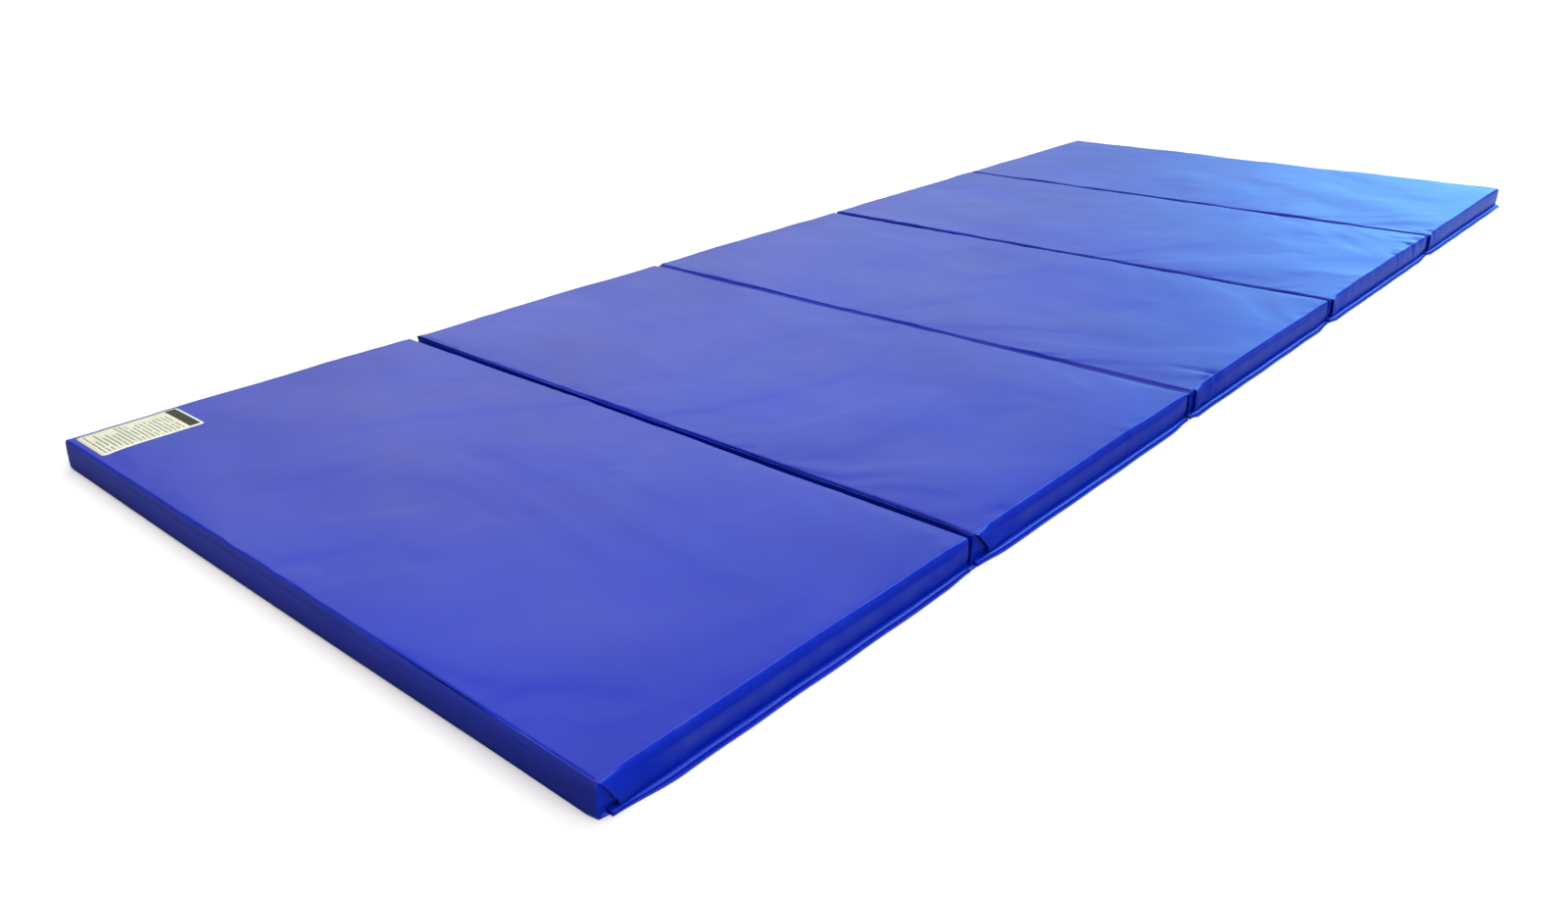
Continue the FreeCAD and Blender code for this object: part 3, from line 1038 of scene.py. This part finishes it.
def make_panel(number):
    """Everything that belongs to one panel; returns its cover's surface."""
    panel = Panel(number)
    points, faces, foot, wear, painted_reflection = cover_skin(panel)
    points = settle_cloth("settling_%d" % number, points, faces, foot, SLACK[number - 1])
    points[:, 2] = below_ceiling(points[:, 2])
    skin = Skin(points, faces)

    parts = [shell(points, faces, foot, VINYL)]
    parts += [corner_flap(panel, skin, side) for side in (1, -1)]
    parts += [side_lip(panel, side, True) for side in (1, -1)]
    piece = make_piece("cover_%d" % number, parts, COVER)
    surface_attribute(piece, "wear", wear)
    # Painted reflection band on the walls, read by the vinyl's colour.
    surface_attribute(piece, "painted_reflection", painted_reflection)
    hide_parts("top_cover_%d" % number)
    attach(piece, panel.body)

    parts = [bottom_sheet(panel)] + [side_lip(panel, side, False) for side in (1, -1)]
    piece = make_piece("underside_%d" % number, parts, UNDER)
    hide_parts("bottom_cover_%d" % number)
    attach(piece, panel.body)

    piece = make_piece("foam_%d" % number, [foam_block(panel)], FOAM)
    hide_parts("foam_core_%d" % number)
    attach(piece, panel.body)

    for side, name in ((1, "left"), (-1, "right")):
        piece = make_piece("%s_seam_stitches_%d" % (name, number), seam_stitches(panel, side), THREAD)
        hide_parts("%s_seam_thread_%d" % (name, number))
        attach(piece, panel.body)
    return panel, skin


# -------- hinges
def web_centre_line(panel, joint, offset):
    """Height of a web's middle at a distance from the hinge axis."""
    if joint in BOTTOM_HINGES:
        return BOTTOM_WEB_Z
    share = min(1.0, abs(offset) / (7.0 * MM))
    return panel.top - TOP_WEB_EDGE - TOP_WEB_SAG * (1.0 - share ** 2)


def hinge_web(before, after, joint):
    """Double ply of vinyl across a groove, bending where the hinge axis is."""
    axis_x = (before.end + after.start) / 2.0
    half_gap = (after.start - before.end) / 2.0
    rooted = half_gap + WEB_ROOT
    offsets = np.concatenate([
        np.linspace(-rooted, -WEB_TURN, 5)[:-1],
        np.linspace(-WEB_TURN, WEB_TURN, 21),
        np.linspace(WEB_TURN, rooted, 5)[1:]])
    bottom = joint in BOTTOM_HINGES
    half_span = before.half_y + (LOWER_LIP * 0.40 if bottom else -1.5 * MM)
    stations = np.linspace(-half_span, half_span, 120)
    sections = []
    for y in stations:
        to_end = half_span - abs(y)
        narrow = 1.0 - 0.5 * float(smooth(1.0 - to_end / (4.0 * MM))) * (1.0 if bottom else 0.0)
        sway = 0.0 if bottom else 0.5 * MM * math.sin(21.0 * y + joint) * min(1.0, to_end / 0.03)
        centres = []
        for offset in offsets:
            middle = 1.0 - min(1.0, abs(offset) / half_gap)
            centres.append((offset, web_centre_line(before, joint, offset) + sway * middle))
        outline = band_section(centres, WEB_PLY * narrow)
        sections.append(np.stack([axis_x + outline[:, 0], np.full(len(outline), y), outline[:, 1]], axis=1))
    piece = make_piece("hinge_%d_web" % joint, [loft(sections)], WEB)
    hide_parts("hinge_%d_web_near_half" % joint, "hinge_%d_web_far_half" % joint)
    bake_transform(piece)
    return axis_x


def hinge_stitches(panel, axis_x, joint, towards, name):
    """Row of stitches through a web, beside one panel."""
    half_span = panel.half_y - HINGE_ROW_END
    x = axis_x + towards * HINGE_ROW
    z = web_centre_line(panel, joint, HINGE_ROW) + WEB_PLY / 2.0
    parts = stitch_row(-half_span, half_span, lambda y: (x, y, z), 5)
    piece = make_piece("hinge_%d_stitches_%s" % (joint, name), parts, THREAD)
    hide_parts("hinge_%d_thread_%s_row" % (joint, name))
    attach(piece, panel.body)


def make_hinge(before, after, joint):
    """One web with a row of stitches at each side."""
    axis_x = hinge_web(before, after, joint)
    hinge_stitches(before, axis_x, joint, -1.0, "near")
    hinge_stitches(after, axis_x, joint, 1.0, "far")


# -------- label
def make_label(skin, top):
    """Printed label, laid on the cover with its corners rounded."""
    low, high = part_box("information_label")
    centre_x = (low[0] + high[0]) / 2.0
    centre_y = (low[1] + high[1]) / 2.0
    half_x = (high[0] - low[0]) / 2.0
    half_y = (high[1] - low[1]) / 2.0
    grid = np.meshgrid(np.linspace(-half_x, half_x, 26), np.linspace(-half_y, half_y, 18), indexing="ij")
    x, y = rounded(grid[0].ravel(), grid[1].ravel(), half_x, half_y, LABEL_CORNER)
    outer = [(px, py, skin.height(px, py, top) + LABEL_LIFT) for px, py in zip(x + centre_x, y + centre_y)]
    inner = outer - np.array([0.0, 0.0, LABEL_PLY])
    sheet = (np.concatenate([outer, inner]), sheet_faces(*grid[0].shape))
    piece = make_piece("label", [sheet], label_material(low, high))
    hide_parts("information_label")
    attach(piece, "panel_1")


# -------- camera, floor and light
def make_camera():
    """The photograph's viewing angle."""
    lens = bpy.data.cameras.new("camera")
    lens.sensor_fit = "HORIZONTAL"
    lens.sensor_width = 36.0
    lens.lens = 28.08
    lens.clip_end = 100.0
    camera = bpy.data.objects.new("camera", lens)
    bpy.context.scene.collection.objects.link(camera)
    look = (CAMERA_TARGET - CAMERA_PLACE).to_track_quat("-Z", "Y").to_matrix().to_4x4()
    camera.matrix_world = Matrix.Translation(CAMERA_PLACE) @ look @ Matrix.Rotation(-CAMERA_ROLL, 4, "Z")
    bpy.context.scene.camera = camera


def make_floor():
    """A flat pale floor that belongs to the stage, not to the object."""
    size = 30.0
    points = [(-size, -size, 0.0), (size, -size, 0.0), (size, size, 0.0), (-size, size, 0.0)]
    floor = new_object("floor", points, [(0, 1, 2, 3)], floor_material())


def soft_sun(name, direction, spread, strength):
    """Even soft light from a large far source in the given direction."""
    light = bpy.data.lights.new(name, "SUN")
    light.angle = math.radians(spread)
    light.energy = strength
    light.color = (1.0, 0.99, 0.98)
    lamp = bpy.data.objects.new(name, light)
    lamp.location = Vector(direction) * 4.0
    lamp.rotation_euler = (-Vector(direction)).to_track_quat("-Z", "Y").to_euler()
    bpy.context.scene.collection.objects.link(lamp)
    return lamp


def make_light():
    """A dim studio with a few broad glows, lit softly from above and from the front."""
    nodes = Nodes(bpy.data.worlds.new("studio"), "Background")
    total = WORLD_BASE
    for direction, sharpness, colour in WORLD_GLOWS:
        towards = nodes.add("ShaderNodeVectorMath", nodes.coordinates.outputs["Generated"],
                            Vector(direction).normalized(), operation="DOT_PRODUCT").outputs["Value"]
        lobe = nodes.math("POWER", nodes.math("MAXIMUM", towards), sharpness)
        light = nodes.add("ShaderNodeVectorMath", colour, operation="SCALE", Scale=lobe).outputs["Vector"]
        total = nodes.add("ShaderNodeVectorMath", total, light, operation="ADD").outputs["Vector"]
    seen = nodes.add("ShaderNodeLightPath").outputs["Is Camera Ray"]
    bpy.context.scene.world = nodes.finish(Color=nodes.mix(seen, total, BACKDROP), Strength=1.0)
    soft_sun("overhead", (0.1, -0.1, 1.0), 75.0, 1.5)
    front = soft_sun("front", (0.0, -0.87, 0.5), 40.0, 2.35)
    front.visible_glossy = False
    bpy.context.scene.view_settings.view_transform = "Standard"


# -------- build
make_camera()
make_floor()
make_light()

made = [make_panel(number) for number in range(1, PANELS + 1)]
for joint in range(1, PANELS):
    make_hinge(made[joint - 1][0], made[joint][0], joint)
make_label(made[0][1], made[0][0].top)
